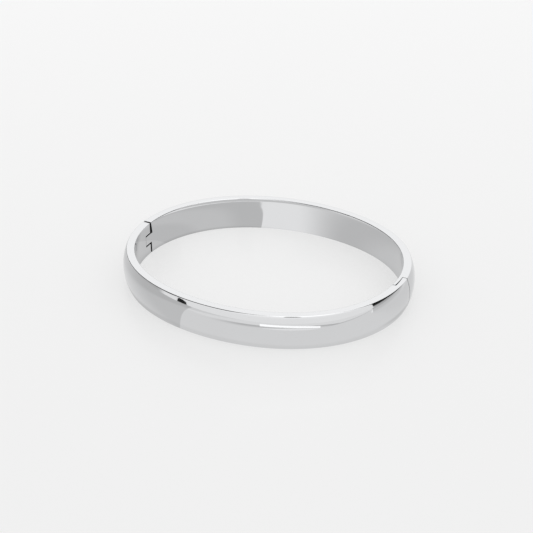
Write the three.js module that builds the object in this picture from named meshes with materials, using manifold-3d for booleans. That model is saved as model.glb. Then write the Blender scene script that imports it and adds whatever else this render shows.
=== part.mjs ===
// Hinged oval bangle bracelet in solid polished steel.
//
// Two bent half-bands of D section meet at a three-knuckle hinge (-X end) and at a lapped snap
// catch (+X end). The front half (-Y side) carries the two outer knuckles, the pin and a sprung
// ball; the back half (+Y side) carries the middle knuckle and a thin lap tongue with a dimple
// for the ball.
//
// Millimetres. Origin: middle of the oval, on the face the band rests on. +X runs along the
// oval's long axis from hinge to catch, +Z runs up across the band's height.

import * as THREE from 'three';
import { mergeVertices } from 'three/addons/utils/BufferGeometryUtils.js';
import Module from 'manifold-3d';

const wasm = await Module();
wasm.setup();

// ---------------------------------------------------------------- driving dimensions
const INNER_LENGTH = 60.0;      // wrist opening, hinge to catch
const INNER_WIDTH = 50.2;       // wrist opening, front to back
const SHOULDER_FULLNESS = 0.014; // how far the oval swells past a true ellipse at its shoulders
const BAND_HEIGHT = 7.6;        // width of the band, measured up from the rest face
const RIM = 1.78;               // thickness of the flat top and bottom rims
const CROWN = 0.84;             // how far the outer face bulges past the rims at mid height

// hinge
const HINGE_SEAM = 0.56;        // open gap between the two halves' ends, seen on the inner wall
const SEAM_Y = -0.37;           // where the middle of that gap lies
const SHOULDER_RELIEF = 0.45;   // how much wider it gets down to the middle knuckle
const PIN_RADIUS = 0.4;
const PIN_FROM_INNER_WALL = 1.05;
const PIN_FROM_SEAM = 0.86;     // pin axis to the end of the outer knuckles
const KNUCKLE_LOW = 2.7;        // bottom of the middle knuckle
const KNUCKLE_HIGH = 4.85;      // top of the middle knuckle
const KNUCKLE_GAP = 0.34;       // above and below the middle knuckle
const KNUCKLE_RADIUS = 1.56;    // round end of the middle knuckle, about the pin
const SLOT_CLEARANCE = 0.12;    // round slot behind that end
const OPEN_ANGLE = THREE.MathUtils.degToRad(40);
const PRESS_CLEARANCE = 0.02;   // pin in the outer knuckles
const RUNNING_CLEARANCE = 0.04; // pin in the middle knuckle
const PIN_COVER = 0.9;          // metal left over the blind end of the pin hole
const PIN_CHAMFER = 0.08;
const PIN_RECESS = 0.03;        // how far the pin's lower end is let in

// catch
const LAP_START_Y = 2.75;       // seam on the outer face
const LAP_END_Y = -1.0;         // tip of the tongue
const LAP_SEAM = 0.15;          // gap at the tip and at the outer seam
const LAP_DEPTH = 0.88;         // tongue thickness at its root
const LAP_GAP_ROOT = 0.1;       // gap between tongue and outer skin
const LAP_GAP_TIP = 0.26;       // wider at the tongue's tip
const BALL_RADIUS = 0.4;
const BALL_Y = 0.55;
const BALL_PROUD = 0.3;         // how far the ball stands out of the skin
const BALL_CLEARANCE = 0.03;
const LIP_DEPTH = 0.12;         // staked lip that keeps the ball in its hole
const LIP_CLEARANCE = 0.005;
const SPRING_WIRE = 0.12;
const SPRING_RADIUS = 0.27;     // to the middle of the wire
const SPRING_COILS = 4;
const SPRING_LENGTH = 0.66;
const DIMPLE_CLEARANCE = 0.05;

// facets
const BAND_STEPS = 72;          // along each half of the band
const CROWN_STEPS = 12;
const ROUND_SEGMENTS = 24;
const LAP_FACE_POINTS = 9;
const SPRING_STEPS_PER_COIL = 16;
const BAND_OVERRUN = 0.12;      // radians of band past each end of a half, before it is cut

const MIDDLE_Z = BAND_HEIGHT / 2;
const CROWN_ARC_RADIUS = (MIDDLE_Z ** 2 + CROWN ** 2) / (2 * CROWN);
const PIN_X = -INNER_LENGTH / 2 - PIN_FROM_INNER_WALL;
const PIN_Y = SEAM_Y - HINGE_SEAM / 2 - PIN_FROM_SEAM;
const PIN_TOP = BAND_HEIGHT - PIN_COVER;
const FAR = 12;                 // reach of a cutting block, past any part of the band's section
const LAP_FACE_X = INNER_LENGTH / 2 + LAP_DEPTH;

// ---------------------------------------------------------------- materials
function steel(name, color, roughness) {
  const material = new THREE.MeshStandardMaterial({ color, roughness, metalness: 1.0 });
  material.name = name;
  return material;
}

const polishedSteel = steel('polished_steel', 0xd4d6d8, 0.06);
const pinSteel = steel('pin_steel', 0xb9bcc0, 0.18);
const ballSteel = steel('ball_steel', 0xc8cacd, 0.08);
const springSteel = steel('spring_steel', 0x9a9da1, 0.3);

// ---------------------------------------------------------------- solids
function toSolid(geometry) {
  const bare = geometry.clone();
  bare.deleteAttribute('normal');
  bare.deleteAttribute('uv');
  const merged = mergeVertices(bare, 1e-5);
  const mesh = new wasm.Mesh({
    numProp: 3,
    vertProperties: new Float32Array(merged.attributes.position.array),
    triVerts: new Uint32Array(merged.index.array),
  });
  return new wasm.Manifold(mesh);
}

function toMesh(name, solid, material) {
  const data = solid.getMesh();
  const geometry = new THREE.BufferGeometry();
  geometry.setAttribute('position', new THREE.BufferAttribute(data.vertProperties, 3));
  geometry.setIndex(new THREE.BufferAttribute(data.triVerts, 1));
  geometry.computeVertexNormals();
  const mesh = new THREE.Mesh(geometry, material);
  mesh.name = name;
  return mesh;
}

// A plan outline pushed up from zLow to zHigh.
function plate(shape, zLow, zHigh) {
  const geometry = new THREE.ExtrudeGeometry(shape, {
    depth: zHigh - zLow,
    bevelEnabled: false,
    curveSegments: ROUND_SEGMENTS,
  });
  geometry.translate(0, 0, zLow);
  return toSolid(geometry);
}

function outline(points) {
  return new THREE.Shape(points.map(([x, y]) => new THREE.Vector2(x, y)));
}

// A round bar about the line through (x, y) parallel to Z; its profile is closed on the axis.
function roundBar(x, y, profile) {
  const points = profile.map(([radius, z]) => new THREE.Vector2(radius, z));
  const geometry = new THREE.LatheGeometry(points, ROUND_SEGMENTS);
  geometry.rotateX(Math.PI / 2);
  geometry.translate(x, y, 0);
  return toSolid(geometry);
}

function cylinderUp(x, y, radius, zLow, zHigh) {
  return roundBar(x, y, [[0, zLow], [radius, zLow], [radius, zHigh], [0, zHigh]]);
}

// ---------------------------------------------------------------- the band
// The inner wall's oval: an ellipse that swells a little at its four shoulders.
class OvalArc extends THREE.Curve {
  constructor(fromAngle, toAngle) {
    super();
    this.fromAngle = fromAngle;
    this.toAngle = toAngle;
    this.arcLengthDivisions = 720;
  }

  getPoint(t, target = new THREE.Vector3()) {
    const angle = this.fromAngle + (this.toAngle - this.fromAngle) * t;
    const swell = 1 + SHOULDER_FULLNESS * Math.sin(2 * angle) ** 2;
    const x = (INNER_LENGTH / 2) * Math.cos(angle) * swell;
    const y = (INNER_WIDTH / 2) * Math.sin(angle) * swell;
    return target.set(x, y, 0);
  }
}

// D section. Along the sweep, section x points down and section y points in towards the wrist,
// so a point at height z and distance out from the inner wall goes in as (-z, -out).
function bandSection() {
  const halfAngle = Math.asin(MIDDLE_Z / CROWN_ARC_RADIUS);
  const centreOut = RIM + CROWN - CROWN_ARC_RADIUS;
  const section = new THREE.Shape();
  section.moveTo(0, 0);
  section.lineTo(0, -RIM);
  for (let i = 1; i <= CROWN_STEPS; i += 1) {
    const angle = halfAngle * (2 * i / CROWN_STEPS - 1);
    const out = centreOut + CROWN_ARC_RADIUS * Math.cos(angle);
    const z = MIDDLE_Z + CROWN_ARC_RADIUS * Math.sin(angle);
    section.lineTo(-z, -out);
  }
  section.lineTo(-BAND_HEIGHT, 0);
  section.closePath();
  return section;
}

// A length of plain band. It runs a little past both ends, for the knuckles and the lap.
function bandArc(fromAngle, toAngle) {
  const geometry = new THREE.ExtrudeGeometry(bandSection(), {
    steps: BAND_STEPS,
    bevelEnabled: false,
    extrudePath: new OvalArc(fromAngle, toAngle),
  });
  return toSolid(geometry);
}

// ---------------------------------------------------------------- hinge cutters
// Everything on the catch side of the seam, at the hinge end: what the outer knuckles give up.
// Its outer corner is bevelled at the open angle, so the back half can swing past the crown.
function knuckleEndCutter() {
  const endY = PIN_Y + PIN_FROM_SEAM;
  const rimX = -INNER_LENGTH / 2 - RIM;
  const slope = Math.tan(OPEN_ANGLE);
  return outline([
    [PIN_X + FAR, endY],
    [PIN_X + FAR, FAR],
    [rimX - FAR, FAR],
    [rimX - FAR, endY - FAR * slope],
    [rimX, endY],
  ]);
}

// The back half's straight shoulder: everything on the front side of it.
function shoulderCutter() {
  const shoulderY = SEAM_Y + HINGE_SEAM / 2;
  return outline([
    [PIN_X - FAR, -FAR],
    [PIN_X + FAR, -FAR],
    [PIN_X + FAR, shoulderY],
    [PIN_X - FAR, shoulderY],
  ]);
}

// A wedge off that shoulder, above the middle knuckle: nothing at the rim, widest at the knuckle.
function shoulderRelief() {
  const shoulderY = SEAM_Y + HINGE_SEAM / 2;
  const wedge = outline([
    [shoulderY - SHOULDER_RELIEF, KNUCKLE_HIGH],
    [shoulderY + SHOULDER_RELIEF, KNUCKLE_HIGH],
    [shoulderY, BAND_HEIGHT],
    [shoulderY - SHOULDER_RELIEF, BAND_HEIGHT],
  ]);
  const geometry = new THREE.ExtrudeGeometry(wedge, { depth: 2 * FAR, bevelEnabled: false });
  const alongX = new THREE.Vector3(1, 0, 0);
  const alongY = new THREE.Vector3(0, 1, 0);
  const alongZ = new THREE.Vector3(0, 0, 1);
  geometry.applyMatrix4(new THREE.Matrix4().makeBasis(alongY, alongZ, alongX));
  geometry.translate(PIN_X - FAR, 0, 0);
  return toSolid(geometry);
}

// A strip across the band that ends in a round about the pin, open towards the back half.
function roundEndedStrip(radius) {
  const shape = new THREE.Shape();
  shape.moveTo(PIN_X - radius, FAR);
  shape.lineTo(PIN_X - radius, PIN_Y);
  shape.absarc(PIN_X, PIN_Y, radius, Math.PI, 2 * Math.PI, false);
  shape.lineTo(PIN_X + radius, FAR);
  shape.closePath();
  return shape;
}

function knuckleSlot() {
  const slotRadius = KNUCKLE_RADIUS + SLOT_CLEARANCE;
  return plate(roundEndedStrip(slotRadius), KNUCKLE_LOW - KNUCKLE_GAP, KNUCKLE_HIGH + KNUCKLE_GAP);
}

// ---------------------------------------------------------------- catch cutters
// The lap face between tongue and skin follows the oval's end and leans, so that the gap is
// wider at the tip. endCurve is how far the oval's end falls back at a distance y off its axis.
function endCurve(y) {
  const endRadius = (INNER_WIDTH / 2) ** 2 / (INNER_LENGTH / 2);
  return y * y / (2 * endRadius);
}

function lapFaceX(y, gap) {
  return LAP_FACE_X + gap - endCurve(y);
}

function lapGap(y) {
  const along = (LAP_START_Y - y) / (LAP_START_Y - LAP_END_Y);
  return LAP_GAP_ROOT + (LAP_GAP_TIP - LAP_GAP_ROOT) * along;
}

// What the front half gives up: all of it past the outer seam, and the tongue's room.
function skinCutter() {
  const points = [
    [LAP_FACE_X + FAR, LAP_START_Y],
    [LAP_FACE_X + FAR, FAR],
    [LAP_FACE_X - FAR, FAR],
  ];
  const tipY = LAP_END_Y - LAP_SEAM;
  points.push([LAP_FACE_X - FAR, tipY]);
  for (let i = 0; i < LAP_FACE_POINTS; i += 1) {
    const y = tipY + (LAP_START_Y - tipY) * i / (LAP_FACE_POINTS - 1);
    points.push([lapFaceX(y, 0), y]);
  }
  return plate(outline(points), -FAR, 2 * FAR);
}

// What the back half keeps near the catch: the band past the outer seam, and the tongue.
function backCatchCutter() {
  const seamY = LAP_START_Y + LAP_SEAM;
  const points = [
    [LAP_FACE_X - FAR, LAP_END_Y],
    [LAP_FACE_X - FAR, -FAR],
    [LAP_FACE_X + FAR, -FAR],
    [LAP_FACE_X + FAR, seamY],
  ];
  for (let i = 0; i < LAP_FACE_POINTS; i += 1) {
    const y = seamY + (LAP_END_Y - seamY) * i / (LAP_FACE_POINTS - 1);
    points.push([lapFaceX(y, -lapGap(y)), y]);
  }
  return plate(outline(points), -FAR, 2 * FAR);
}

// ---------------------------------------------------------------- catch ball, its hole, spring
const SKIN_FACE_X = lapFaceX(BALL_Y, 0);
const BALL_X = SKIN_FACE_X - BALL_PROUD + BALL_RADIUS;
const SPRING_START_X = BALL_X + BALL_RADIUS + BALL_CLEARANCE;
const HOLE_END_X = SPRING_START_X + SPRING_LENGTH + BALL_CLEARANCE;
const LIP_RADIUS = Math.sqrt(BALL_RADIUS ** 2 - (BALL_RADIUS - BALL_PROUD) ** 2) + LIP_CLEARANCE;

// A turned shape whose axis runs along +X through the middle of the catch.
function turnedAlongX(profile, segments = ROUND_SEGMENTS) {
  const points = profile.map(([radius, x]) => new THREE.Vector2(radius, x));
  const geometry = new THREE.LatheGeometry(points, segments);
  geometry.rotateZ(-Math.PI / 2);
  geometry.translate(0, BALL_Y, MIDDLE_Z);
  return toSolid(geometry);
}

function ballHole() {
  const radius = BALL_RADIUS + BALL_CLEARANCE;
  const mouthX = SKIN_FACE_X - LAP_GAP_TIP;
  return turnedAlongX([
    [0, mouthX],
    [LIP_RADIUS, mouthX],
    [LIP_RADIUS, SKIN_FACE_X],
    [radius, SKIN_FACE_X + LIP_DEPTH],
    [radius, HOLE_END_X],
    [0, HOLE_END_X],
  ]);
}

function ballGeometry(radius) {
  const geometry = new THREE.SphereGeometry(radius, ROUND_SEGMENTS, ROUND_SEGMENTS / 2);
  geometry.rotateZ(-Math.PI / 2);
  geometry.translate(BALL_X, BALL_Y, MIDDLE_Z);
  return geometry;
}

// Helix of the catch spring, its axis along +X.
class SpringPath extends THREE.Curve {
  getPoint(t, target = new THREE.Vector3()) {
    const turn = 2 * Math.PI * SPRING_COILS * t;
    const x = SPRING_START_X + SPRING_WIRE / 2 + (SPRING_LENGTH - SPRING_WIRE) * t;
    const y = BALL_Y + SPRING_RADIUS * Math.cos(turn);
    const z = MIDDLE_Z + SPRING_RADIUS * Math.sin(turn);
    return target.set(x, y, z);
  }
}

function catchSpring() {
  const wire = new THREE.Shape();
  wire.absarc(0, 0, SPRING_WIRE / 2, 0, 2 * Math.PI, false);
  const geometry = new THREE.ExtrudeGeometry(wire, {
    steps: SPRING_COILS * SPRING_STEPS_PER_COIL,
    curveSegments: 4,
    bevelEnabled: false,
    extrudePath: new SpringPath(),
  });
  return toSolid(geometry);
}

// ---------------------------------------------------------------- pin
function hingePin() {
  const top = PIN_TOP - PRESS_CLEARANCE;
  return roundBar(PIN_X, PIN_Y, [
    [0, PIN_RECESS],
    [PIN_RADIUS - PIN_CHAMFER, PIN_RECESS],
    [PIN_RADIUS, PIN_RECESS + PIN_CHAMFER],
    [PIN_RADIUS, top - PIN_CHAMFER],
    [PIN_RADIUS - PIN_CHAMFER, top],
    [0, top],
  ]);
}

// ---------------------------------------------------------------- halves
function frontHalf() {
  const endsCut = bandArc(Math.PI - BAND_OVERRUN, 2 * Math.PI + BAND_OVERRUN)
    .subtract(plate(knuckleEndCutter(), -FAR, 2 * FAR))
    .subtract(skinCutter());
  const pinHole = cylinderUp(PIN_X, PIN_Y, PIN_RADIUS + PRESS_CLEARANCE, -1, PIN_TOP);
  return endsCut.subtract(knuckleSlot()).subtract(pinHole).subtract(ballHole());
}

function backHalf() {
  const band = bandArc(-BAND_OVERRUN, Math.PI + BAND_OVERRUN);
  const knuckle = plate(roundEndedStrip(KNUCKLE_RADIUS), KNUCKLE_LOW, KNUCKLE_HIGH);
  const shoulderCut = plate(shoulderCutter(), -FAR, 2 * FAR).subtract(knuckle).add(shoulderRelief());
  const pinHole = cylinderUp(PIN_X, PIN_Y, PIN_RADIUS + RUNNING_CLEARANCE, -1, BAND_HEIGHT + 1);
  const dimple = toSolid(ballGeometry(BALL_RADIUS + DIMPLE_CLEARANCE));
  return band.subtract(shoulderCut).subtract(backCatchCutter()).subtract(pinHole).subtract(dimple);
}

// ---------------------------------------------------------------- assembly
const bangle = new THREE.Group();
bangle.add(toMesh('front_half', frontHalf(), polishedSteel));
bangle.add(toMesh('back_half', backHalf(), polishedSteel));
bangle.add(toMesh('hinge_pin', hingePin(), pinSteel));
bangle.add(toMesh('catch_ball', toSolid(ballGeometry(BALL_RADIUS)), ballSteel));
bangle.add(toMesh('catch_spring', catchSpring(), springSteel));

export default bangle;
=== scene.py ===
"""Looks for the hinged oval bangle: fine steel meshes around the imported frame, and a pale studio."""

import math

import bmesh
import bpy
import numpy as np
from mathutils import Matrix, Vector


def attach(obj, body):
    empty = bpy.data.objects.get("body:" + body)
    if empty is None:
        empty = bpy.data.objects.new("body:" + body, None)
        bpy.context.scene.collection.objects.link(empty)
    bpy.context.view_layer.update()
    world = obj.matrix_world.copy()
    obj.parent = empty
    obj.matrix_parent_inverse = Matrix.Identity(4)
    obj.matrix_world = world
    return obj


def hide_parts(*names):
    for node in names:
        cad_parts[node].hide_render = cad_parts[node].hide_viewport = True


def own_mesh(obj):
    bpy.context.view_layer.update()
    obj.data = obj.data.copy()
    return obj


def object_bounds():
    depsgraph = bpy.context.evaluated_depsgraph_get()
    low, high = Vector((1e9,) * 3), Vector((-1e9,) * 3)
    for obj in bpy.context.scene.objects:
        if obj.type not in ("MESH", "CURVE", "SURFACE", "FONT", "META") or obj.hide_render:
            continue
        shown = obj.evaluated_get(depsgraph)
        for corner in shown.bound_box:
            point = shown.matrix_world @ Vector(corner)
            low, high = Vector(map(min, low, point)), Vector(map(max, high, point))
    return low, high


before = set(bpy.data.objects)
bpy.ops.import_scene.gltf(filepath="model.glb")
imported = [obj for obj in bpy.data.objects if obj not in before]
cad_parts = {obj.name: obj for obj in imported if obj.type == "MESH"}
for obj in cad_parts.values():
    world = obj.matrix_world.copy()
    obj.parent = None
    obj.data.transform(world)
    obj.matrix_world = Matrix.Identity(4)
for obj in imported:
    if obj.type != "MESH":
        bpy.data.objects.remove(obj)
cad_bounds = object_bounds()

MM = 0.001

# ---------------------------------------------------------------- sizes, in metres
# the band
cad_low, cad_high = cad_bounds
BAND_HEIGHT = cad_high[2] - cad_low[2]
RIM = 1.78 * MM                    # flat rim
CROWN = 0.84 * MM                  # bulge of the outer face past the rim
INNER_LENGTH = 60.0 * MM
INNER_WIDTH = 50.2 * MM
SHOULDER_FULLNESS = 0.014          # how much fuller than an ellipse the oval is at its shoulders
INNER_EDGE_RADIUS = 0.16 * MM      # eased edge against the wrist
OUTER_EDGE_RADIUS = 0.16 * MM      # between rim and domed face

# hinge
HINGE_SEAM = 0.56 * MM             # beside the outer knuckles
SEAM_Y = -0.37 * MM                # middle of that seam
SHOULDER_RELIEF = 0.45 * MM        # how much wider the seam gets down to the middle knuckle
PIN_RADIUS = 0.4 * MM
PIN_CHAMFER = 0.08 * MM
PIN_RECESS = 0.03 * MM             # pin's foot above the bottom rim
PIN_FROM_INNER_WALL = 1.05 * MM
PIN_FROM_SEAM = 0.86 * MM          # pin axis to the end of the outer knuckles
KNUCKLE_LOW = 2.7 * MM             # middle knuckle
KNUCKLE_HIGH = 4.85 * MM
KNUCKLE_GAP = 0.34 * MM            # above and below the middle knuckle
KNUCKLE_RADIUS = 1.56 * MM
SLOT_CLEARANCE = 0.12 * MM         # round the middle knuckle
OPEN_ANGLE = math.radians(40)
PRESS_CLEARANCE = 0.02 * MM        # pin in the outer knuckles
RUNNING_CLEARANCE = 0.04 * MM      # pin in the middle knuckle
PIN_COVER = 0.9 * MM               # steel left over the blind end of the pin's hole

# lapped catch
LAP_START_Y = 2.75 * MM            # outer seam
LAP_END_Y = -1.0 * MM              # tip of the inner tongue
LAP_SEAM = 0.15 * MM               # width of the seams across the band, at both ends of the lap
LAP_DEPTH = 0.88 * MM              # inner wall to the lap's face
LAP_GAP_ROOT = 0.1 * MM            # slit between skin and tongue, at the outer seam
LAP_GAP_TIP = 0.26 * MM            # and at the tongue's tip
BALL_RADIUS = 0.4 * MM
BALL_Y = 0.55 * MM
BALL_PROUD = 0.3 * MM              # how far the ball stands out of the skin
BALL_CLEARANCE = 0.03 * MM         # in its hole
LIP_DEPTH = 0.12 * MM              # of the lip that keeps the ball in
LIP_CLEARANCE = 0.005 * MM
SPRING_WIRE = 0.12 * MM
SPRING_RADIUS = 0.27 * MM          # to the middle of the wire
SPRING_COILS = 4
SPRING_LENGTH = 0.66 * MM          # at rest
DIMPLE_CLEARANCE = 0.05 * MM       # round the ball, in the tongue

MIDDLE_Z = BAND_HEIGHT / 2
CROWN_ARC = (MIDDLE_Z ** 2 + CROWN ** 2) / (2 * CROWN)
PIN_X = -INNER_LENGTH / 2 - PIN_FROM_INNER_WALL
PIN_Y = SEAM_Y - HINGE_SEAM / 2 - PIN_FROM_SEAM
LAP_FACE_X = INNER_LENGTH / 2 + LAP_DEPTH
FAR = 12 * MM                      # well past the band, for cutters

# ---------------------------------------------------------------- mesh fineness
STATION_STEP = 0.3 * MM            # along the band
CUT_MARGIN = 0.12 * MM             # no station this near to a cut across the band
BEYOND = 0.13                      # radians of band past each end of a half, before it is cut
CROWN_SEGMENTS = 44
EDGE_SEGMENTS = 4
WALL_SEGMENTS = 10
RIM_SEGMENTS = 3
ARC_SEGMENTS = 96
LAP_FACE_POINTS = 25
HOLE_SEGMENTS = 48
PIN_SEGMENTS = 64
PIN_END_RINGS = 4
PIN_SIDE_RINGS = 11
BALL_SEGMENTS = 64
BALL_RINGS = 32
SPRING_STEPS_PER_COIL = 48
SPRING_SIDES = 16
SEAM_BEVEL = 0.035 * MM
BEVEL_SEGMENTS = 2
WELD = 0.004 * MM                  # points this near each other after a cut are one
BEVEL_ANGLE = math.radians(35)     # sharper edges than this are eased after the cuts
SHARP_ANGLE = math.radians(28)     # shading breaks at sharper edges than this
SKIN_TOLERANCE = 0.03 * MM         # faces this near the D section's skin aren't cut faces


# ---------------------------------------------------------------- mesh helpers
def new_object(name, mesh):
    obj = bpy.data.objects.new(name, mesh)
    bpy.context.scene.collection.objects.link(obj)
    return obj


def mesh_object(name, verts, faces):
    mesh = bpy.data.meshes.new(name)
    mesh.from_pydata([tuple(v) for v in verts], [], faces)
    mesh.validate()
    return new_object(name, mesh)


def face_outwards(mesh):
    bm = bmesh.new()
    bm.from_mesh(mesh)
    bmesh.ops.recalc_face_normals(bm, faces=bm.faces)
    bm.to_mesh(mesh)
    bm.free()


def prism(name, outline, z_low, z_high):
    """A closed plan outline pushed up from z_low to z_high."""
    count = len(outline)
    verts = [(x, y, z_low) for x, y in outline] + [(x, y, z_high) for x, y in outline]
    faces = [tuple(reversed(range(count))), tuple(range(count, 2 * count))]
    for i in range(count):
        j = (i + 1) % count
        faces.append((i, j, count + j, count + i))
    obj = mesh_object(name, verts, faces)
    face_outwards(obj.data)
    return obj


def tall_prism(outline):
    """A cutter that goes right through the band, top to bottom."""
    return prism("cutter", outline, -FAR, 2 * FAR)


def turned(name, profile, segments, place):
    """A profile of (radius, height) pairs turned about its axis; place maps a point to the frame."""
    verts = []
    rings = []
    for radius, height in profile:
        if radius < 1e-9:
            rings.append([len(verts)])
            verts.append(place(0.0, 0.0, height))
            continue
        rings.append(list(range(len(verts), len(verts) + segments)))
        for k in range(segments):
            angle = 2 * math.pi * k / segments
            verts.append(place(radius * math.cos(angle), radius * math.sin(angle), height))
    faces = []
    for lower, upper in zip(rings, rings[1:]):
        for k in range(segments):
            n = (k + 1) % segments
            if len(lower) == 1:
                faces.append((lower[0], upper[n], upper[k]))
            elif len(upper) == 1:
                faces.append((lower[k], lower[n], upper[0]))
            else:
                faces.append((lower[k], lower[n], upper[n], upper[k]))
    obj = mesh_object(name, verts, faces)
    face_outwards(obj.data)
    return obj


def cut_away(obj, cutter):
    """Takes the cutter's shape out of obj, and deletes the cutter."""
    modifier = obj.modifiers.new("cut", "BOOLEAN")
    modifier.operation = "DIFFERENCE"
    modifier.solver = "MANIFOLD"
    modifier.object = cutter
    apply_modifiers(obj)
    cutter_mesh = cutter.data
    bpy.data.objects.remove(cutter)
    bpy.data.meshes.remove(cutter_mesh)


def apply_modifiers(obj):
    bpy.context.view_layer.update()
    graph = bpy.context.evaluated_depsgraph_get()
    fresh = bpy.data.meshes.new_from_object(obj.evaluated_get(graph), depsgraph=graph)
    old = obj.data
    obj.modifiers.clear()
    obj.data = fresh
    bpy.data.meshes.remove(old)


def ease_cut_edges(obj, width):
    """Breaks the sharp edges that the cuts left with a fine bevel."""
    bm = bmesh.new()
    bm.from_mesh(obj.data)
    bmesh.ops.remove_doubles(bm, verts=bm.verts, dist=WELD)
    bmesh.ops.dissolve_degenerate(bm, edges=bm.edges, dist=WELD)
    weight = bm.edges.layers.float.new("bevel_weight_edge")
    for edge in bm.edges:
        if len(edge.link_faces) == 2 and edge.calc_face_angle(0.0) > BEVEL_ANGLE:
            edge[weight] = 1.0
    bm.to_mesh(obj.data)
    bm.free()
    modifier = obj.modifiers.new("ease", "BEVEL")
    modifier.limit_method = "WEIGHT"
    modifier.width = width
    modifier.segments = BEVEL_SEGMENTS
    modifier.use_clamp_overlap = True
    modifier.miter_outer = "MITER_ARC"
    apply_modifiers(obj)


def shade(obj):
    obj.data.shade_smooth()
    obj.data.set_sharp_from_angle(angle=SHARP_ANGLE)


# ---------------------------------------------------------------- the band
def oval_point(angle):
    """Point of the inner wall's oval, an ellipse with slightly fuller shoulders."""
    swell = 1 + SHOULDER_FULLNESS * math.sin(2 * angle) ** 2
    x = INNER_LENGTH / 2 * math.cos(angle) * swell
    y = INNER_WIDTH / 2 * math.sin(angle) * swell
    return np.array([x, y])


def oval_normal(angle):
    step = 1e-5
    along = oval_point(angle + step) - oval_point(angle - step)
    along /= np.linalg.norm(along)
    return np.array([along[1], -along[0]])


def arc_points(centre, radius, from_angle, to_angle, segments):
    return [
        (centre[0] + radius * math.cos(a), centre[1] + radius * math.sin(a))
        for a in np.linspace(from_angle, to_angle, segments + 1)
    ]


def crown_out(z):
    """How far out from the inner wall the domed face is at height z."""
    rise = math.sqrt(CROWN_ARC ** 2 - (z - MIDDLE_Z) ** 2)
    return RIM + CROWN - CROWN_ARC + rise


def band_section():
    """(out, z) points round the D section, anticlockwise, with its four long edges eased."""
    r_in = INNER_EDGE_RADIUS
    r_out = OUTER_EDGE_RADIUS
    # the outer easings touch both the flat rims and the crown's arc
    lean = math.asin((MIDDLE_Z - r_out) / (CROWN_ARC - r_out))
    eased_out = RIM + CROWN - CROWN_ARC + (CROWN_ARC - r_out) * math.cos(lean)
    low_out = (eased_out, r_out)
    high_out = (eased_out, BAND_HEIGHT - r_out)
    points = arc_points((r_in, r_in), r_in, math.pi, 1.5 * math.pi, EDGE_SEGMENTS)
    points += [(x, 0.0) for x in np.linspace(r_in, low_out[0], RIM_SEGMENTS + 1)[1:-1]]
    points += arc_points(low_out, r_out, 1.5 * math.pi, 2 * math.pi - lean, EDGE_SEGMENTS)
    first_z = points[-1][1]
    for z in np.linspace(first_z, BAND_HEIGHT - first_z, CROWN_SEGMENTS + 1)[1:-1]:
        points.append((crown_out(z), z))
    points += arc_points(high_out, r_out, lean, math.pi / 2, EDGE_SEGMENTS)
    points += [(x, BAND_HEIGHT) for x in np.linspace(high_out[0], r_in, RIM_SEGMENTS + 1)[1:-1]]
    points += arc_points((r_in, BAND_HEIGHT - r_in), r_in, math.pi / 2, math.pi, EDGE_SEGMENTS)
    points += [(0.0, z) for z in np.linspace(BAND_HEIGHT - r_in, r_in, WALL_SEGMENTS + 1)[1:-1]]
    return points


def stations(from_angle, to_angle, keep_clear):
    """Angles along the band about STATION_STEP apart, none of them close to a cut across it."""
    fine = np.linspace(from_angle, to_angle, 4001)
    points = np.array([oval_point(a) for a in fine])
    length = np.concatenate([[0], np.cumsum(np.linalg.norm(np.diff(points, axis=0), axis=1))])
    count = int(length[-1] / STATION_STEP)
    angles = np.interp(np.linspace(0, length[-1], count + 1), length, fine)
    kept = []
    for angle in angles:
        x, y = oval_point(angle)
        near = any(x * side > 0 and abs(y - cut) < CUT_MARGIN for side, cut in keep_clear)
        if not near:
            kept.append(angle)
    return kept


def band_arc(name, from_angle, to_angle, keep_clear):
    """The section swept along the oval, closed at both ends."""
    section = band_section()
    ring = len(section)
    angles = stations(from_angle, to_angle, keep_clear)
    verts = []
    for angle in angles:
        base = oval_point(angle)
        out = oval_normal(angle)
        for s, z in section:
            verts.append((base[0] + out[0] * s, base[1] + out[1] * s, z))
    faces = []
    for i in range(len(angles) - 1):
        for j in range(ring):
            k = (j + 1) % ring
            a, b = i * ring + j, i * ring + k
            faces.append((a, b, b + ring, a + ring))
    faces.append(tuple(range(ring)))
    faces.append(tuple(reversed(range(len(verts) - ring, len(verts)))))
    obj = mesh_object(name, verts, faces)
    face_outwards(obj.data)
    return obj


# ---------------------------------------------------------------- hinge cutters
def knuckle_end_outline():
    """All that the outer knuckles give up, with their outer corners bevelled at the open angle."""
    end_y = PIN_Y + PIN_FROM_SEAM
    rim_x = -INNER_LENGTH / 2 - RIM
    slope = math.tan(OPEN_ANGLE)
    return [
        (PIN_X + FAR, end_y),
        (PIN_X + FAR, FAR),
        (rim_x - FAR, FAR),
        (rim_x - FAR, end_y - FAR * slope),
        (rim_x, end_y),
    ]


def shoulder_outline():
    """All that the back half gives up beside the outer knuckles."""
    y = SEAM_Y + HINGE_SEAM / 2
    return [(PIN_X - FAR, -FAR), (PIN_X + FAR, -FAR), (PIN_X + FAR, y), (PIN_X - FAR, y)]


def shoulder_relief():
    """A wedge off the back half's shoulder, above the middle knuckle."""
    y = SEAM_Y + HINGE_SEAM / 2
    wedge = [
        (y - SHOULDER_RELIEF, KNUCKLE_HIGH),
        (y + SHOULDER_RELIEF, KNUCKLE_HIGH),
        (y, BAND_HEIGHT),
        (y, BAND_HEIGHT + MM),
        (y - SHOULDER_RELIEF, BAND_HEIGHT + MM),
    ]
    obj = prism("cutter", wedge, PIN_X - FAR, PIN_X + FAR)
    for vertex in obj.data.vertices:
        y, z, x = vertex.co
        vertex.co = (x, y, z)
    return obj


def round_strip_outline(radius):
    """A strip with a round end about the pin: the middle knuckle, or the slot for it."""
    points = [(PIN_X - radius, FAR)]
    points += arc_points((PIN_X, PIN_Y), radius, math.pi, 2 * math.pi, ARC_SEGMENTS)
    points.append((PIN_X + radius, FAR))
    return points


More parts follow.
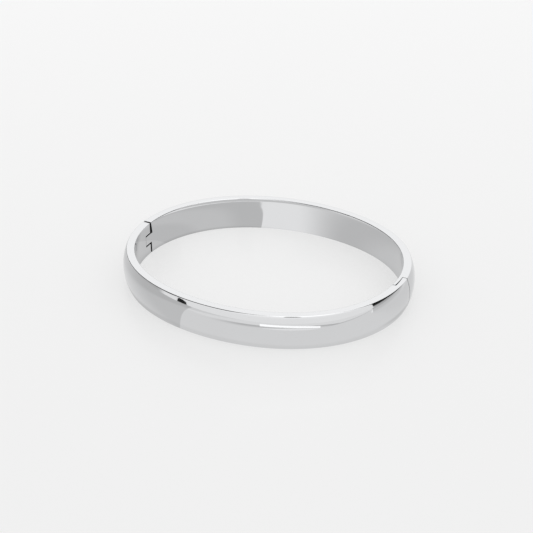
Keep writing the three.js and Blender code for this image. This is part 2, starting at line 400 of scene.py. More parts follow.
def pin_hole(radius, z_high):
    outline = arc_points((PIN_X, PIN_Y), radius, 0, 2 * math.pi, ARC_SEGMENTS)[:-1]
    return prism("cutter", outline, -FAR, z_high)


# ---------------------------------------------------------------- catch cutters
def end_curve(y):
    """How far the oval's end has curved back at y."""
    end_radius = (INNER_WIDTH / 2) ** 2 / (INNER_LENGTH / 2)
    return y * y / (2 * end_radius)


def lap_face_x(y, gap):
    return LAP_FACE_X + gap - end_curve(y)


def lap_gap(y):
    along = (LAP_START_Y - y) / (LAP_START_Y - LAP_END_Y)
    return LAP_GAP_ROOT + (LAP_GAP_TIP - LAP_GAP_ROOT) * along


def skin_outline():
    """All that the front half gives up at the catch, leaving its outer skin."""
    tip_y = LAP_END_Y - LAP_SEAM
    points = [
        (LAP_FACE_X + FAR, LAP_START_Y),
        (LAP_FACE_X + FAR, FAR),
        (LAP_FACE_X - FAR, FAR),
        (LAP_FACE_X - FAR, tip_y),
    ]
    points += [(lap_face_x(y, 0), y) for y in np.linspace(tip_y, LAP_START_Y, LAP_FACE_POINTS)]
    return points


def back_catch_outline():
    """All that the back half gives up at the catch, leaving its inner tongue."""
    seam_y = LAP_START_Y + LAP_SEAM
    points = [
        (LAP_FACE_X - FAR, LAP_END_Y),
        (LAP_FACE_X - FAR, -FAR),
        (LAP_FACE_X + FAR, -FAR),
        (LAP_FACE_X + FAR, seam_y),
    ]
    for y in np.linspace(seam_y, LAP_END_Y, LAP_FACE_POINTS):
        points.append((lap_face_x(y, -lap_gap(y)), y))
    return points


SKIN_FACE_X = lap_face_x(BALL_Y, 0)
BALL_X = SKIN_FACE_X - BALL_PROUD + BALL_RADIUS
SPRING_START_X = BALL_X + BALL_RADIUS + BALL_CLEARANCE
HOLE_END_X = SPRING_START_X + SPRING_LENGTH + BALL_CLEARANCE
BALL_MOUTH = math.sqrt(BALL_RADIUS ** 2 - (BALL_RADIUS - BALL_PROUD) ** 2)
LIP_RADIUS = BALL_MOUTH + LIP_CLEARANCE


def along_x(across, up, height):
    """Places a turned shape with its axis along +X through the middle of the catch."""
    return (height, BALL_Y + across, MIDDLE_Z + up)


def ball_hole():
    """Cutter for the blind hole in the skin; its lip keeps the ball in."""
    radius = BALL_RADIUS + BALL_CLEARANCE
    mouth_x = SKIN_FACE_X - LAP_GAP_TIP
    profile = [
        (0, mouth_x),
        (LIP_RADIUS, mouth_x),
        (LIP_RADIUS, SKIN_FACE_X),
        (radius, SKIN_FACE_X + LIP_DEPTH),
        (radius, HOLE_END_X),
        (0, HOLE_END_X),
    ]
    return turned("ball_hole_cutter", profile, HOLE_SEGMENTS, along_x)


def ball_mesh(name, radius):
    profile = [
        (radius * math.sin(a), BALL_X - radius * math.cos(a))
        for a in np.linspace(0, math.pi, BALL_RINGS + 1)
    ]
    profile[0] = (0.0, profile[0][1])
    profile[-1] = (0.0, profile[-1][1])
    return turned(name, profile, BALL_SEGMENTS, along_x)


# ---------------------------------------------------------------- halves
HINGE_CUTS = [(-1, SEAM_Y - HINGE_SEAM / 2), (-1, SEAM_Y + HINGE_SEAM / 2)]
CATCH_CUTS = [
    (1, LAP_START_Y),
    (1, LAP_START_Y + LAP_SEAM),
    (1, LAP_END_Y),
    (1, LAP_END_Y - LAP_SEAM),
]


def make_front_half():
    obj = band_arc("band_front", math.pi - BEYOND, 2 * math.pi + BEYOND, HINGE_CUTS + CATCH_CUTS)
    slot = round_strip_outline(KNUCKLE_RADIUS + SLOT_CLEARANCE)
    slot_low = KNUCKLE_LOW - KNUCKLE_GAP
    slot_high = KNUCKLE_HIGH + KNUCKLE_GAP
    cut_away(obj, tall_prism(knuckle_end_outline()))
    cut_away(obj, tall_prism(skin_outline()))
    cut_away(obj, prism("cutter", slot, slot_low, slot_high))
    cut_away(obj, pin_hole(PIN_RADIUS + PRESS_CLEARANCE, BAND_HEIGHT - PIN_COVER))
    cut_away(obj, ball_hole())
    ease_cut_edges(obj, SEAM_BEVEL)
    shade(obj)
    return obj


def make_back_half():
    obj = band_arc("band_back", -BEYOND, math.pi + BEYOND, HINGE_CUTS + CATCH_CUTS)
    shoulder = tall_prism(shoulder_outline())
    knuckle = prism("cutter", round_strip_outline(KNUCKLE_RADIUS), KNUCKLE_LOW, KNUCKLE_HIGH)
    cut_away(shoulder, knuckle)
    cut_away(obj, shoulder)
    cut_away(obj, shoulder_relief())
    cut_away(obj, tall_prism(back_catch_outline()))
    cut_away(obj, pin_hole(PIN_RADIUS + RUNNING_CLEARANCE, 2 * FAR))
    cut_away(obj, ball_mesh("cutter", BALL_RADIUS + DIMPLE_CLEARANCE))
    ease_cut_edges(obj, SEAM_BEVEL)
    shade(obj)
    return obj


# ---------------------------------------------------------------- small pieces
def make_pin():
    """Plain pin with round-eased ends."""
    low = PIN_RECESS
    high = BAND_HEIGHT - PIN_COVER - PRESS_CLEARANCE
    flat = PIN_RADIUS - PIN_CHAMFER
    quarter = np.linspace(0, math.pi / 2, EDGE_SEGMENTS + 1)[1:]
    profile = [(0.0, low)]
    profile += [(r, low) for r in np.linspace(0, flat, PIN_END_RINGS + 1)[1:]]
    for a in quarter:
        profile.append((flat + PIN_CHAMFER * math.sin(a), low + PIN_CHAMFER * (1 - math.cos(a))))
    side = np.linspace(low + PIN_CHAMFER, high - PIN_CHAMFER, PIN_SIDE_RINGS + 1)
    profile += [(PIN_RADIUS, z) for z in side[1:]]
    for a in quarter:
        profile.append((flat + PIN_CHAMFER * math.cos(a), high - PIN_CHAMFER * (1 - math.sin(a))))
    profile.append((0.0, high))
    obj = turned("pin", profile, PIN_SEGMENTS, lambda x, y, z: (PIN_X + x, PIN_Y + y, z))
    shade(obj)
    return obj


def make_ball():
    obj = ball_mesh("ball", BALL_RADIUS)
    shade(obj)
    return obj


def make_spring():
    """Coil spring wound along +X."""
    steps = SPRING_COILS * SPRING_STEPS_PER_COIL
    sides = SPRING_SIDES
    wire = SPRING_WIRE / 2
    travel = SPRING_LENGTH - SPRING_WIRE
    rise = travel / (2 * math.pi * SPRING_COILS)
    verts = []
    for i in range(steps + 1):
        turn = 2 * math.pi * SPRING_COILS * i / steps
        radial = Vector((0, math.cos(turn), math.sin(turn)))
        around = Vector((0, -math.sin(turn), math.cos(turn)))
        along = (Vector((rise, 0, 0)) + around * SPRING_RADIUS).normalized()
        third = along.cross(radial)
        x = SPRING_START_X + wire + travel * i / steps
        centre = Vector((x, BALL_Y, MIDDLE_Z)) + radial * SPRING_RADIUS
        for k in range(sides):
            a = 2 * math.pi * k / sides
            verts.append(centre + radial * wire * math.cos(a) + third * wire * math.sin(a))
    faces = []
    for i in range(steps):
        for k in range(sides):
            n = (k + 1) % sides
            a, b = i * sides + k, i * sides + n
            faces.append((a, b, b + sides, a + sides))
    faces.append(tuple(range(sides)))
    faces.append(tuple(reversed(range(steps * sides, (steps + 1) * sides))))
    obj = mesh_object("spring", verts, faces)
    face_outwards(obj.data)
    shade(obj)
    return obj


# ---------------------------------------------------------------- cut faces
def on_band_surface(point):
    """True where a point lies on the band's own D-shaped skin, not on a face left by a cut."""
    near = SKIN_TOLERANCE
    if point.z < near or point.z > BAND_HEIGHT - near:
        return True
    # the oval's angle whose normal passes through the point, by Newton's method
    angle = math.atan2(point.y / INNER_WIDTH, point.x / INNER_LENGTH)
    for _ in range(6):
        step = 1e-4
        base = oval_point(angle)
        along = (oval_point(angle + step) - oval_point(angle - step)) / (2 * step)
        gap = np.array([point.x, point.y]) - base
        angle += float(np.dot(gap, along) / np.dot(along, along))
    out = float(np.dot(np.array([point.x, point.y]) - oval_point(angle), oval_normal(angle)))
    easing = max(0.0, INNER_EDGE_RADIUS - min(point.z, BAND_HEIGHT - point.z))
    if out < near + easing:
        return True
    return out > crown_out(point.z) - near - easing / 2


def dull_cut_faces(obj, material):
    """Gives the faces that cuts left their own material."""
    obj.data.materials.append(material)
    for polygon in obj.data.polygons:
        if not on_band_surface(polygon.center):
            polygon.material_index = 1


# ---------------------------------------------------------------- steel
def steel_material(name, colour, roughness, variation, scratch, scratch_scale):
    """Metal whose roughness and tint drift a little, under fine polishing hairlines."""
    material = bpy.data.materials.new(name)
    material.use_nodes = True
    nodes = material.node_tree.nodes
    links = material.node_tree.links
    shader = nodes["Principled BSDF"]
    shader.inputs["Metallic"].default_value = 1.0
    place = nodes.new("ShaderNodeTexCoord")

    smear = nodes.new("ShaderNodeTexNoise")
    smear.inputs["Scale"].default_value = 140.0
    smear.inputs["Detail"].default_value = 4.0
    links.new(place.outputs["Object"], smear.inputs["Vector"])
    rough = nodes.new("ShaderNodeMapRange")
    rough.inputs["From Min"].default_value = 0.3
    rough.inputs["From Max"].default_value = 0.7
    rough.inputs["To Min"].default_value = roughness
    rough.inputs["To Max"].default_value = roughness + variation
    links.new(smear.outputs["Fac"], rough.inputs["Value"])
    links.new(rough.outputs["Result"], shader.inputs["Roughness"])

    tint = nodes.new("ShaderNodeMixRGB")
    tint.inputs["Color1"].default_value = (*colour, 1.0)
    tint.inputs["Color2"].default_value = (*[c * 0.975 for c in colour], 1.0)
    links.new(smear.outputs["Fac"], tint.inputs["Fac"])
    links.new(tint.outputs["Color"], shader.inputs["Base Color"])

    stretch = nodes.new("ShaderNodeMapping")
    stretch.inputs["Scale"].default_value = (1.0, 1.0, 14.0)
    links.new(place.outputs["Object"], stretch.inputs["Vector"])
    lines = nodes.new("ShaderNodeTexNoise")
    lines.inputs["Scale"].default_value = scratch_scale
    lines.inputs["Detail"].default_value = 3.0
    links.new(stretch.outputs["Vector"], lines.inputs["Vector"])
    bump = nodes.new("ShaderNodeBump")
    bump.inputs["Strength"].default_value = scratch
    bump.inputs["Distance"].default_value = 0.002 * MM
    links.new(lines.outputs["Fac"], bump.inputs["Height"])
    links.new(bump.outputs["Normal"], shader.inputs["Normal"])
    return material


def paint_crevice_shade(material):
    """Painted shade: ground faces are painted nearly black inside a closed seam, where little light
    reaches, and look like steel once it opens.
    """
    nodes = material.node_tree.nodes
    links = material.node_tree.links
    shader = nodes["Principled BSDF"]
    steel = shader.inputs["Base Color"].links[0].from_socket
    open_sky = nodes.new("ShaderNodeAmbientOcclusion")
    open_sky.samples = 8
    open_sky.inputs["Distance"].default_value = 1.5 * MM
    spread = nodes.new("ShaderNodeMapRange")
    spread.inputs["From Min"].default_value = 0.35
    spread.inputs["From Max"].default_value = 0.9
    links.new(open_sky.outputs["AO"], spread.inputs["Value"])
    mix = nodes.new("ShaderNodeMixRGB")
    # colour of the painted shade deep inside a closed seam
    mix.inputs["Color1"].default_value = (0.012, 0.012, 0.014, 1.0)
    links.new(spread.outputs["Result"], mix.inputs["Fac"])
    links.new(steel, mix.inputs["Color2"])
    links.new(mix.outputs["Color"], shader.inputs["Base Color"])


def paint(obj, material):
    obj.data.materials.clear()
    obj.data.materials.append(material)


# ---------------------------------------------------------------- pieces on their bodies
polished = steel_material(
    "polished_steel_look", (0.80, 0.805, 0.815),
    roughness=0.03, variation=0.03, scratch=0.15, scratch_scale=900.0,
)
pin_look = steel_material(
    "pin_steel_look", (0.66, 0.665, 0.68),
    roughness=0.18, variation=0.1, scratch=0.5, scratch_scale=2500.0,
)
ball_look = steel_material(
    "ball_steel_look", (0.76, 0.765, 0.775),
    roughness=0.05, variation=0.04, scratch=0.1, scratch_scale=2500.0,
)
spring_look = steel_material(
    "spring_steel_look", (0.55, 0.555, 0.57),
    roughness=0.25, variation=0.12, scratch=0.5, scratch_scale=4000.0,
)
cut_look = steel_material(
    "cut_steel_look", (0.6, 0.603, 0.61),
    roughness=0.25, variation=0.12, scratch=0.6, scratch_scale=2500.0,
)
# cut faces get painted shade in their crevices
paint_crevice_shade(cut_look)

PIECES = [
    (make_front_half, polished, "front", "front_half", "polished_steel"),
    (make_back_half, polished, "back", "back_half", "polished_steel"),
    (make_pin, pin_look, "front", "hinge_pin", "pin_steel"),
    (make_ball, ball_look, "ball", "catch_ball", "ball_steel"),
    (make_spring, spring_look, "front", "catch_spring", "spring_steel"),
]

for make, material, body, node, slot in PIECES:
    piece = make()
    paint(piece, material)
    if material is polished:
        dull_cut_faces(piece, cut_look)
    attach(piece, body)
    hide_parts(node)
    if node == "catch_spring":
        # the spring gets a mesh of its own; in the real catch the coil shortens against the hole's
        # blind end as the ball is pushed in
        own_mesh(piece)


# ---------------------------------------------------------------- studio
# The steel is a mirror, so its look is its surroundings. The sky and a table that only reflections
# see hold the panels of the studio; the camera itself sees a plain pale floor. Brightness is 1 for
# white. Angles in the sky are in degrees: azimuth from +X towards +Y, elevation up from the floor.
FLOOR_WHITE = 0.28
FLOOR_GLOW = 0.585                 # lit from below as well, like a light table, so shadows are faint
FLOOR_DEPTH = 0.02 * MM            # under the rim that the bangle lies on
TABLE_DEPTH = 0.1 * MM             # likewise
GROUND_HALF_SIDE = 4.0             # metres

SKY_WHITE = 1.06
LOW_SKY = 0.9                      # near the horizon
OVERHEAD = 1.5
OPENING_WHITE = 0.02               # dark openings, left and right
OPENING_BORDER_WHITE = 0.42
LEFT_GAP_WHITE = 0.04
LOW_LEFT_WHITE = 0.5
LOW_LEFT_BOX = (-174, -152, -1, 12)  # azimuth from, to, elevation from, to
LOW_LEFT_SOFTNESS = 8
STAND_WHITE = 0.15                 # stand that holds the camera
STAND_BOX = (-66, -55, 24, 75)
STAND_SOFTNESS = 2

TABLE_WHITE = 0.775
GROUND_WHITE = 0.84                # past the table's edges
LINE_WHITE = 0.54                  # dark line along those edges
FRONT_EDGE_Y = -56 * MM            # front and right edges of the table, as the steel sees it
RIGHT_EDGE_X = 53.5 * MM
RIGHT_EDGE_BEND_Y = -31 * MM       # from here back, the right edge runs outwards
RIGHT_EDGE_BEND = 2.9              # metres out for each metre back
FAR_EDGE_SLOPE = 0.187             # straight edge of the shade on the far right
FAR_EDGE_Y = -15.7 * MM            # where that edge would cross x = 0
# painted highlight: a bright line along the shade's edge, seen as a glint in the steel
FAR_GLINT_WHITE = 1.02               # bright lip of that edge
FAR_SHADE_NEAR = 0.77              # the shade deepens away from the band
FAR_SHADE_MIDDLE = 0.64
FAR_SHADE_FAR = 0.45
LEFT_EDGE_START = (-6.6 * MM, -26.3 * MM)
LEFT_EDGE_TURN = math.radians(236)
LEFT_WHITE = 0.62                  # shaded side past that edge
FAR_LEFT_DIMMING = 0.88
CATCH_DIMMING = 0.93               # on the table beyond the catch
# painted contact shade on the reflected table, in place of the band's own shadow
CONTACT_DIMMING = 0.93             # where the band touches the table
CONTACT_DIMMING_LEFT = 0.77        # there, on the left
CONTACT_DIMMING_CATCH = 0.78       # there, right under the catch

FOCUS = (-9.3 * MM, 5.0 * MM)      # where the far inner wall gathers its reflections
SHEET_WHITE = 0.92
SHEET_EDGE = (-9.7 * MM, 7.6 * MM)  # near end of the bright sheet's sharp edge
SHEET_EDGE_SLOPE = -0.272
SHEET_EDGE_BOW = 0.27 * MM
BOW_MIDDLE = 9.4 * MM              # along the edge
BOW_HALF_LENGTH = 5.5 * MM

STRIP_LEFT = Vector((14.2, -43.3, 0)) * MM
STRIP_RIGHT = Vector((36.0, -31.0, 0)) * MM
STRIP_STEPS = 24
STRIP_WHITE = 1.25
STRIP_IN_TABLE_WHITE = 0.93


class Graph:
    """Short names for the arithmetic nodes of one node tree."""

    def __init__(self, tree):
        self.tree = tree

    def node(self, kind):
        return self.tree.nodes.new(kind)

    def feed(self, socket, value):
        if isinstance(value, bpy.types.NodeSocket):
            self.tree.links.new(value, socket)
        else:
            socket.default_value = value

    def math(self, operation, first, second=0.0):
        node = self.node("ShaderNodeMath")
        node.operation = operation
        self.feed(node.inputs[0], first)
        self.feed(node.inputs[1], second)
        return node.outputs[0]

    def step(self, value, low, high):
        """0 below low, 1 above high, smooth between; low may be the larger."""
        node = self.node("ShaderNodeMapRange")
        node.interpolation_type = "SMOOTHSTEP"
        falling = low > high
        self.feed(node.inputs["Value"], value)
        node.inputs["From Min"].default_value = min(low, high)
        node.inputs["From Max"].default_value = max(low, high)
        node.inputs["To Min"].default_value = 1.0 if falling else 0.0
        node.inputs["To Max"].default_value = 0.0 if falling else 1.0
        return node.outputs["Result"]

    def mix(self, factor, first, second):
        """first where factor is 0, second where it is 1."""
        change = self.math("SUBTRACT", second, first)
        return self.math("ADD", first, self.math("MULTIPLY", factor, change))

    def product(self, *factors):
        result = factors[0]
        for factor in factors[1:]:
            result = self.math("MULTIPLY", result, factor)
        return result

    def degrees(self, y, x):
        return self.math("DEGREES", self.math("ARCTAN2", y, x))


def patch(graph, azimuth, elevation, box, soft):
    """1 inside a box of sky (azimuth from, to, elevation from, to, in degrees), 0 outside."""
    left, right, low, high = box
    return graph.product(
        graph.step(azimuth, left - soft, left),
        graph.step(azimuth, right + soft, right),
        graph.step(elevation, low - soft, low),
        graph.step(elevation, high + soft, high),
    )


def left_gap(graph, x, y, elevation):
    """A dark gap in the sky on the left; its foot rises towards the gap's far side."""
    # measured from straight left, so that the jump in azimuth is out of the way
    from_left = graph.degrees(graph.math("MULTIPLY", y, -1.0), graph.math("MULTIPLY", x, -1.0))
    foot = graph.math("MULTIPLY", graph.step(from_left, 36, 58), 11.0)
    return graph.product(
        graph.step(from_left, -48, -34),
        graph.step(from_left, 86, 68),
        graph.step(graph.math("SUBTRACT", elevation, foot), 9, 13),
        graph.step(elevation, 88, 78),
    )


def left_opening(graph, azimuth, elevation):
    """A small dark opening, low in front on the left, with a slanting stepped top."""
    slant = graph.math("MULTIPLY", graph.math("ADD", azimuth, 134), 0.9)
    drop = graph.math("MULTIPLY", graph.step(azimuth, -129, -128), 4.5)
    top = graph.math("SUBTRACT", graph.math("SUBTRACT", 10, slant), drop)
    return graph.product(
        graph.step(azimuth, -135.4, -134.6),
        graph.step(azimuth, -125, -126.5),
        graph.step(graph.math("SUBTRACT", elevation, top), 0.8, -0.4),
    )


def right_opening(graph, azimuth, elevation):
    """A wide dark opening on the right, and the soft border along its foot."""
    foot = graph.math("SUBTRACT", 3.9, graph.math("MULTIPLY", azimuth, 0.06))
    above = graph.math("SUBTRACT", elevation, foot)
    span = graph.product(
        graph.step(azimuth, 11.6, 12.2),
        graph.step(azimuth, 60, 47),
        graph.step(elevation, 78, 60),
    )
    opening = graph.product(span, graph.step(above, -0.8, 0.4))
    border = graph.product(span, graph.step(above, -5, -1))
    return opening, border


def make_world():
    world = bpy.data.worlds.new("studio")
    world.use_nodes = True
    bpy.context.scene.world = world
    graph = Graph(world.node_tree)
    place = graph.node("ShaderNodeTexCoord")
    split = graph.node("ShaderNodeSeparateXYZ")
    graph.feed(split.inputs[0], place.outputs["Generated"])
    x, y, z = split.outputs
    azimuth = graph.degrees(y, x)
    elevation = graph.math("DEGREES", graph.math("ARCSINE", z))

    light = graph.mix(graph.step(elevation, 10, 26), LOW_SKY, SKY_WHITE)
    light = graph.mix(graph.step(elevation, 48, 62), light, OVERHEAD)
    light = graph.mix(left_gap(graph, x, y, elevation), light, LEFT_GAP_WHITE)
    low_left = patch(graph, azimuth, elevation, LOW_LEFT_BOX, LOW_LEFT_SOFTNESS)
    light = graph.mix(low_left, light, LOW_LEFT_WHITE)
    light = graph.mix(left_opening(graph, azimuth, elevation), light, OPENING_WHITE)
    stand = patch(graph, azimuth, elevation, STAND_BOX, STAND_SOFTNESS)
    light = graph.mix(stand, light, STAND_WHITE)
    opening, border = right_opening(graph, azimuth, elevation)
    light = graph.mix(border, light, OPENING_BORDER_WHITE)
    light = graph.mix(opening, light, OPENING_WHITE)
    # mirrors see the panels; everything else gets plain soft light from all round
    ray = graph.node("ShaderNodeLightPath")
    light = graph.mix(ray.outputs["Is Glossy Ray"], 1.0, light)
    background = world.node_tree.nodes["Background"]
    background.inputs["Color"].default_value = (1, 1, 1, 1)
    graph.feed(background.inputs["Strength"], light)


def table_edges(graph, light, x, y, past_shade):
    """The table's front and right edges: a dark line along them, and lighter ground past them."""
    bend = graph.math("MAXIMUM", graph.math("SUBTRACT", y, RIGHT_EDGE_BEND_Y), 0.0)
    across = graph.math("SUBTRACT", x, graph.math("MULTIPLY", bend, RIGHT_EDGE_BEND))
    past_front = graph.step(y, FRONT_EDGE_Y + 1 * MM, FRONT_EDGE_Y - 1 * MM)
    past_right = graph.step(across, RIGHT_EDGE_X - 1 * MM, RIGHT_EDGE_X + 1 * MM)
    light = graph.mix(graph.math("MAXIMUM", past_front, past_right), light, GROUND_WHITE)
    front_line = graph.product(
        graph.step(y, FRONT_EDGE_Y - 11 * MM, FRONT_EDGE_Y - 6 * MM),
        graph.step(y, FRONT_EDGE_Y + 13 * MM, FRONT_EDGE_Y + 1 * MM),
        graph.step(x, RIGHT_EDGE_X + 3 * MM, RIGHT_EDGE_X),
        graph.step(x, -14 * MM, 8 * MM),
    )
    right_line = graph.product(
        graph.step(across, RIGHT_EDGE_X - 13 * MM, RIGHT_EDGE_X - 1 * MM),
        graph.step(across, RIGHT_EDGE_X + 10 * MM, RIGHT_EDGE_X + 5 * MM),
        graph.step(y, FRONT_EDGE_Y - 3 * MM, FRONT_EDGE_Y),
        graph.step(past_shade, -1.2 * MM, -2 * MM),
    )
    return graph.mix(graph.math("MAXIMUM", front_line, right_line), light, LINE_WHITE)


def far_right_shade(graph, light, x, y, past_shade):
    """Far right, shade that deepens towards the opening there, behind an edge with a painted bright
    glint line.
    """
    turn = graph.degrees(graph.math("ADD", y, 9 * MM), graph.math("SUBTRACT", x, 29 * MM))
    shaded = graph.product(
        graph.step(past_shade, -0.3 * MM, 0.3 * MM),
        graph.step(turn, 60, 50),
        graph.step(x, 40 * MM, 60 * MM),
    )
    # painted highlight: a bright line just short of the edge, seen as a glint in the steel
    lip = graph.product(
        graph.step(past_shade, -2.2 * MM, -1.6 * MM),
        graph.step(past_shade, -0.1 * MM, -0.5 * MM),
        graph.step(x, 62 * MM, 78 * MM),
    )
    depth = graph.mix(graph.step(x, 45 * MM, 90 * MM), FAR_SHADE_NEAR, FAR_SHADE_MIDDLE)
    depth = graph.mix(graph.step(x, 90 * MM, 400 * MM), depth, FAR_SHADE_FAR)
    light = graph.mix(lip, light, FAR_GLINT_WHITE)
    return graph.mix(shaded, light, depth)


def left_shade(graph, light, x, y):
    """On the left, a shaded side with a straight edge that runs away from the band."""
    dx = graph.math("SUBTRACT", x, LEFT_EDGE_START[0])
    dy = graph.math("SUBTRACT", y, LEFT_EDGE_START[1])
    cosine, sine = math.cos(LEFT_EDGE_TURN), math.sin(LEFT_EDGE_TURN)
    across = graph.math(
        "SUBTRACT", graph.math("MULTIPLY", dy, cosine), graph.math("MULTIPLY", dx, sine)
    )
    along = graph.math(
        "ADD", graph.math("MULTIPLY", dx, cosine), graph.math("MULTIPLY", dy, sine)
    )
    turn = graph.degrees(graph.math("MULTIPLY", across, -1.0), along)
    shaded = graph.product(
        graph.step(across, 0.1 * MM, -0.1 * MM),
        graph.step(turn, 92, 42),
    )
    return graph.mix(shaded, light, LEFT_WHITE)


def table_light(graph, x, y):
    """Brightness of the table that reflections see, at a point (x, y) outside the oval."""
    far_edge_y = graph.math("ADD", graph.math("MULTIPLY", x, FAR_EDGE_SLOPE), FAR_EDGE_Y)
    past_shade = graph.math("SUBTRACT", y, far_edge_y)
    light = table_edges(graph, TABLE_WHITE, x, y, past_shade)
    light = far_right_shade(graph, light, x, y, past_shade)
    light = left_shade(graph, light, x, y)
    far_left = graph.step(x, -30 * MM, -45 * MM)
    near_catch = graph.product(
        graph.step(x, 30 * MM, 34 * MM),
        graph.step(x, 62 * MM, 50 * MM),
        graph.step(y, -8 * MM, 6 * MM),
    )
    return graph.product(
        light,
        graph.mix(far_left, 1.0, FAR_LEFT_DIMMING),
        graph.mix(near_catch, 1.0, CATCH_DIMMING),
    )


def inner_light(graph, x, y):
    """Inside the oval: a bright sheet with one sharp bowed edge, between two shaded sides."""
    turn = graph.degrees(
        graph.math("SUBTRACT", y, FOCUS[1]),
        graph.math("SUBTRACT", x, FOCUS[0]),
    )
    along = graph.math("SUBTRACT", y, SHEET_EDGE[1])
    from_middle = graph.math("SUBTRACT", along, BOW_MIDDLE)
    from_middle = graph.math("DIVIDE", from_middle, BOW_HALF_LENGTH)
    bow = graph.math("SUBTRACT", 1.0, graph.math("POWER", from_middle, 2.0))
    bow = graph.math("MAXIMUM", bow, 0.0)
    edge_x = graph.math("ADD", graph.math("MULTIPLY", along, SHEET_EDGE_SLOPE), SHEET_EDGE[0])
    edge_x = graph.math("ADD", edge_x, graph.math("MULTIPLY", bow, SHEET_EDGE_BOW))
    past_edge = graph.step(graph.math("SUBTRACT", x, edge_x), -0.06 * MM, 0.06 * MM)
    sheet = graph.product(graph.step(turn, 50, 80), past_edge)
    right_side = graph.mix(graph.step(turn, 46, 30), 0.58, 0.645)
    left_side = graph.mix(graph.step(turn, 116, 133), 0.575, 0.64)
    left_side = graph.mix(graph.step(turn, 148, 160), left_side, 0.59)
    shaded = graph.mix(graph.step(turn, 80, 90), right_side, left_side)
    return graph.mix(sheet, shaded, SHEET_WHITE)


def whole_table_light(graph):
    """Inside and outside of the oval together, with painted contact shade where the band touches the
    table.
    """
    place = graph.node("ShaderNodeNewGeometry")
    split = graph.node("ShaderNodeSeparateXYZ")
    graph.feed(split.inputs[0], place.outputs["Position"])
    x, y = split.outputs[0], split.outputs[1]
    across_x = graph.math("DIVIDE", x, INNER_LENGTH / 2 + RIM)
    across_y = graph.math("DIVIDE", y, INNER_WIDTH / 2 + RIM)
    squares = graph.math(
        "ADD", graph.math("POWER", across_x, 2.0), graph.math("POWER", across_y, 2.0)
    )
    reach = graph.math("SQRT", squares)
    inside = inner_light(graph, x, y)
    light = graph.mix(graph.step(reach, 0.98, 1.0), inside, table_light(graph, x, y))
    # painted contact shade in a ring round the band's foot
    contact = graph.product(graph.step(reach, 0.9, 0.96), graph.step(reach, 1.06, 1.02))
    on_left = graph.step(x, -6 * MM, -22 * MM)
    at_catch = graph.step(x, 31.4 * MM, 32.6 * MM)
    dimming = graph.mix(on_left, CONTACT_DIMMING, CONTACT_DIMMING_LEFT)
    dimming = graph.mix(at_catch, dimming, CONTACT_DIMMING_CATCH)
    return graph.product(light, graph.mix(contact, 1.0, dimming))


def glowing_material(name, strength_of):
    """Plain light; strength_of(graph) gives its strength as a number or a node's output."""
    material = bpy.data.materials.new(name)
    material.use_nodes = True
    material.node_tree.nodes.clear()
    graph = Graph(material.node_tree)
    glow = graph.node("ShaderNodeEmission")
    graph.feed(glow.inputs["Strength"], strength_of(graph))
    out = graph.node("ShaderNodeOutputMaterial")
    graph.feed(out.inputs["Surface"], glow.outputs["Emission"])
    return material


def only_in_reflections(obj):
    obj.visible_camera = False
    obj.visible_diffuse = False
    obj.visible_shadow = False
    obj.visible_transmission = False


def level_square(name, depth):
    """A large level square, that far under the bangle's foot."""
    half = GROUND_HALF_SIDE
    corners = [(-half, -half, 0), (half, -half, 0), (half, half, 0), (-half, half, 0)]
    obj = mesh_object(name, corners, [(0, 1, 2, 3)])
    obj.location.z = -depth
    return obj


def make_reflected_table():
    """A plane just under the floor that only mirror reflections see; its glow is painted light and
    shade for the steel to mirror.
    """
    obj = level_square("reflected_table", TABLE_DEPTH)
    paint(obj, glowing_material("reflected_table_look", whole_table_light))
    only_in_reflections(obj)


def make_light_strip(name, strength, foot_height, head_height):
    """An upright glowing strip in front of the bangle; heights in mm, from t = 0 left to 1 right."""
    verts = []
    for i in range(STRIP_STEPS + 1):
        t = i / STRIP_STEPS
        foot = STRIP_LEFT.lerp(STRIP_RIGHT, t)
        verts.append(foot + Vector((0, 0, foot_height(t) * MM)))
        verts.append(foot + Vector((0, 0, head_height(t) * MM)))
    faces = [(2 * i, 2 * i + 2, 2 * i + 3, 2 * i + 1) for i in range(STRIP_STEPS)]
    obj = mesh_object(name, verts, faces)
    paint(obj, glowing_material(name + "_look", lambda graph: strength))
    only_in_reflections(obj)


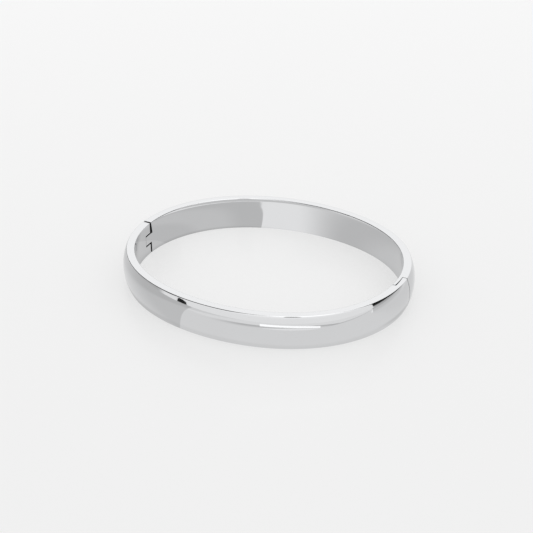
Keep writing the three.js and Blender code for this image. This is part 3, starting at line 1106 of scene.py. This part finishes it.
def make_light_strips():
    """The long highlight on the domed face, and its own fainter reflection in the table."""
    make_light_strip(
        "light_strip", STRIP_WHITE,
        lambda t: 2.3 + 2 * t * (1 - t) - 1.4 * t ** 3,
        lambda t: 4.75 - 1.95 * t ** 3,
    )
    make_light_strip(
        "strip_in_table", STRIP_IN_TABLE_WHITE,
        lambda t: 0.1,
        lambda t: 0.2 + 5.2 * t * (1 - t),
    )


def make_floor():
    obj = level_square("floor", FLOOR_DEPTH)
    material = bpy.data.materials.new("floor_look")
    material.use_nodes = True
    shader = material.node_tree.nodes["Principled BSDF"]
    shader.inputs["Base Color"].default_value = (FLOOR_WHITE, FLOOR_WHITE, FLOOR_WHITE, 1)
    shader.inputs["Roughness"].default_value = 0.3
    shader.inputs["Specular IOR Level"].default_value = 0.1
    shader.inputs["Emission Color"].default_value = (1, 1, 1, 1)
    shader.inputs["Emission Strength"].default_value = FLOOR_GLOW
    paint(obj, material)
    obj.visible_glossy = False


# ---------------------------------------------------------------- camera
CAMERA_ELEVATION = math.radians(28.9)
CAMERA_AZIMUTH = math.radians(28.06)
CAMERA_DISTANCE = 296.5 * MM
SENSOR_WIDTH = 36.0                # mm, as Blender has it
FOCAL_LENGTH = 90.716              # mm


def make_camera():
    """Slightly above the bangle, with the catch end nearer."""
    back = Vector((
        math.sin(CAMERA_AZIMUTH) * math.cos(CAMERA_ELEVATION),
        -math.cos(CAMERA_AZIMUTH) * math.cos(CAMERA_ELEVATION),
        math.sin(CAMERA_ELEVATION),
    ))
    data = bpy.data.cameras.new("camera")
    data.sensor_width = SENSOR_WIDTH
    data.lens = FOCAL_LENGTH
    data.shift_x = -0.0022
    data.shift_y = 0.0281
    data.clip_start = 0.01
    camera = bpy.data.objects.new("camera", data)
    bpy.context.scene.collection.objects.link(camera)
    camera.location = back * CAMERA_DISTANCE
    camera.rotation_euler = back.to_track_quat("Z", "Y").to_euler()
    bpy.context.scene.camera = camera


make_floor()
make_reflected_table()
make_light_strips()
make_world()
make_camera()
bpy.context.scene.view_settings.view_transform = "Standard"
